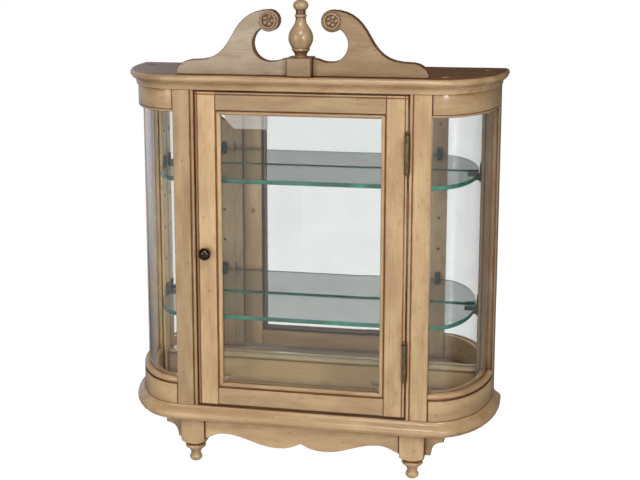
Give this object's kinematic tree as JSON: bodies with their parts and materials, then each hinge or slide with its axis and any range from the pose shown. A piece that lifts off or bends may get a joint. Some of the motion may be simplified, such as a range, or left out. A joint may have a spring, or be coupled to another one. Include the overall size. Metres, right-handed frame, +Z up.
{
  "type": "wall curio cabinet",
  "caption": "Wall-hung display cabinet: D-shaped plan with bent glass ends, a hinged bevelled-glass door, glass shelves before a mirror, swan-neck pediment and scalloped apron.",
  "frame": {"origin": "on the wall plane, at the middle of the back panel's rear face", "axes": "+Z up, +Y into the wall, front of the cabinet towards -Y, +X to the viewer's right"},
  "size_m": [0.64, 0.2118, 0.7859],
  "materials": {
    "wood_case": "antiqued satin lacquer over dark glaze",
    "wood_back": "thin stain",
    "glass_clear": "polished",
    "glass_shelf": "polished, green at the edges",
    "mirror_silver": "silvered glass",
    "bronze_knob": "dark bronzed",
    "hinge_metal": "aged",
    "support_metal": "satin dark paint",
    "brass_screw": "plain",
    "steel_plate": "zinc plated",
    "dark_plastic": "matt"
  },
  "bodies": {
    "case": {"base_board": "wood_case", "cornice_top": "wood_case", "pediment_block": "wood_case", "finial": "wood_case", "apron_front": "wood_case", "stile_front_left": "wood_case", "stile_front_right": "wood_case", "stile_back_left": "wood_case", "stile_back_right": "wood_case", "rail_bottom_left": "wood_case", "rail_bottom_right": "wood_case", "frieze_left": "wood_case", "frieze_right": "wood_case", "pediment_left": "wood_case", "pediment_right": "wood_case", "rosette_left": "wood_case", "rosette_right": "wood_case", "foot_left": "wood_case", "foot_right": "wood_case", "apron_ear_left": "wood_case", "apron_ear_right": "wood_case", "back_rail_bottom": "wood_back", "back_rail_top": "wood_back", "back_panel": "wood_back", "bent_glass_left": "glass_clear", "bent_glass_right": "glass_clear", "mirror_pane": "mirror_silver", "hinge_leaf_frame_upper": "hinge_metal", "hinge_leaf_frame_lower": "hinge_metal", "hinge_pin_upper": "hinge_metal", "hinge_pin_lower": "hinge_metal", "support_upper_front_left": "support_metal", "support_upper_front_right": "support_metal", "support_upper_back_left": "support_metal", "support_upper_back_right": "support_metal", "support_lower_front_left": "support_metal", "support_lower_front_right": "support_metal", "support_lower_back_left": "support_metal", "support_lower_back_right": "support_metal", "hanger_left": "steel_plate", "hanger_right": "steel_plate", "catch_body": "dark_plastic"},
    "door": {"door_stile_left": "wood_case", "door_stile_right": "wood_case", "door_rail_top": "wood_case", "door_rail_bottom": "wood_case", "door_glass": "glass_clear", "glass_strip_left": "dark_plastic", "glass_strip_right": "dark_plastic", "glass_strip_bottom": "dark_plastic", "glass_strip_top": "dark_plastic", "knob": "bronze_knob", "knob_screw": "brass_screw", "strike_plate": "steel_plate", "hinge_leaf_door_upper": "hinge_metal", "hinge_leaf_door_lower": "hinge_metal"},
    "shelf_upper": {"shelf_upper": "glass_shelf"},
    "shelf_lower": {"shelf_lower": "glass_shelf"}
  },
  "joints": [
    {"name": "door_hinge", "type": "hinge", "parent": "case", "child": "door", "pos_m": [0.1721, -0.1942, 0], "axis": [0, 0, 1], "range_deg": [0, 170]},
    {"name": "shelf_upper_lift", "type": "slide", "parent": "case", "child": "shelf_upper", "axis": [0, 0, 1], "range_m": [0, 0.03]},
    {"name": "shelf_lower_lift", "type": "slide", "parent": "case", "child": "shelf_lower", "axis": [0, 0, 1], "range_m": [0, 0.03]}
  ]
}
